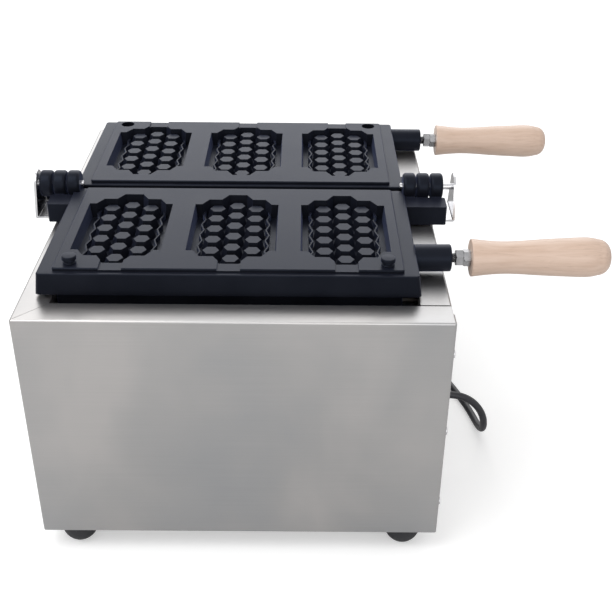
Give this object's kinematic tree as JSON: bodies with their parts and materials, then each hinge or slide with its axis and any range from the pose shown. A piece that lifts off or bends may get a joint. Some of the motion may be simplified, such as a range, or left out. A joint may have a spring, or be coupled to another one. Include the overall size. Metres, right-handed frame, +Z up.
{
  "type": "waffle maker",
  "caption": "Commercial flip-over waffle maker: folded steel body, two hinged honeycomb mould plates with turned wooden handles.",
  "frame": {"origin": "on the table, below the middle of the bounding box with the handles and without the lead", "axes": "+X towards the handles, +Y away from the cook, +Z up"},
  "size_m": [0.5219, 0.5347, 0.2871],
  "materials": {
    "steel": "brushed along the length",
    "zinc_steel": "plain zinc plated",
    "bright_steel": "bright plated",
    "coated_casting": "dark non-stick coating, satin",
    "wood": "lacquered beech",
    "rubber": "matte",
    "heater_sheath": "heat tinted",
    "black_plastic": "matte",
    "white_plastic": "matte",
    "dial_plate": "satin with a printed scale",
    "amber_lens": "translucent",
    "red_lens": "translucent",
    "wire_sleeve": "matte heat-proof sleeve"
  },
  "bodies": {
    "housing": {"base_plate": "zinc_steel", "body_wrap": "steel", "bracket_screws": "bright_steel", "control_panel": "steel", "cord_coil": "rubber", "cord_gland": "rubber", "feet": "rubber", "foot_screws": "zinc_steel", "front_heater": "heater_sheath", "heat_shield": "zinc_steel", "heater_clips": "zinc_steel", "heating_lamp": "amber_lens", "inner_lead": "rubber", "left_hinge_bracket": "bright_steel", "left_hinge_pin": "bright_steel", "panel_screws": "bright_steel", "plug": "rubber", "power_cord": "rubber", "power_lamp": "red_lens", "rail_screws": "bright_steel", "rear_heater": "heater_sheath", "right_hinge_bracket": "bright_steel", "right_hinge_pin": "bright_steel", "rocker_housing": "black_plastic", "support_rails": "zinc_steel", "terminal_block": "white_plastic", "thermostat": "white_plastic", "thermostat_bulb": "bright_steel", "thermostat_dial": "dial_plate", "timer": "black_plastic", "timer_dial": "dial_plate", "wiring": "wire_sleeve"},
    "front_mould_body": {"front_mould": "coated_casting", "front_hinge_rings": "coated_casting", "locating_posts": "bright_steel", "front_handle_rod": "bright_steel", "front_handle_nuts": "bright_steel", "front_handle": "wood"},
    "rear_mould_body": {"rear_mould": "coated_casting", "rear_hinge_rings": "coated_casting", "rear_handle_rod": "bright_steel", "rear_handle_nuts": "bright_steel", "rear_handle": "wood"},
    "thermostat_knob_body": {"thermostat_knob": "black_plastic", "thermostat_shaft": "bright_steel"},
    "timer_knob_body": {"timer_knob": "black_plastic", "timer_shaft": "bright_steel"},
    "rocker_body": {"rocker": "black_plastic"}
  },
  "joints": [
    {"name": "front_mould_flip", "type": "hinge", "parent": "housing", "child": "front_mould_body", "pos_m": [-0.0655, 0, 0.2741], "axis": [1, 0, 0], "range_deg": [-180, 0]},
    {"name": "rear_mould_flip", "type": "hinge", "parent": "housing", "child": "rear_mould_body", "pos_m": [-0.0655, 0, 0.2741], "axis": [1, 0, 0], "range_deg": [0, 180]},
    {"name": "thermostat_turn", "type": "hinge", "parent": "housing", "child": "thermostat_knob_body", "pos_m": [0.1194, 0.062, 0.14], "axis": [-1, 0, 0], "range_deg": [0, 270]},
    {"name": "timer_turn", "type": "hinge", "parent": "housing", "child": "timer_knob_body", "pos_m": [0.1194, -0.062, 0.14], "axis": [-1, 0, 0], "range_deg": [0, 300]},
    {"name": "rocker_tilt", "type": "hinge", "parent": "housing", "child": "rocker_body", "pos_m": [0.1184, 0.062, 0.077], "axis": [0, -1, 0], "range_deg": [0, 16]}
  ]
}
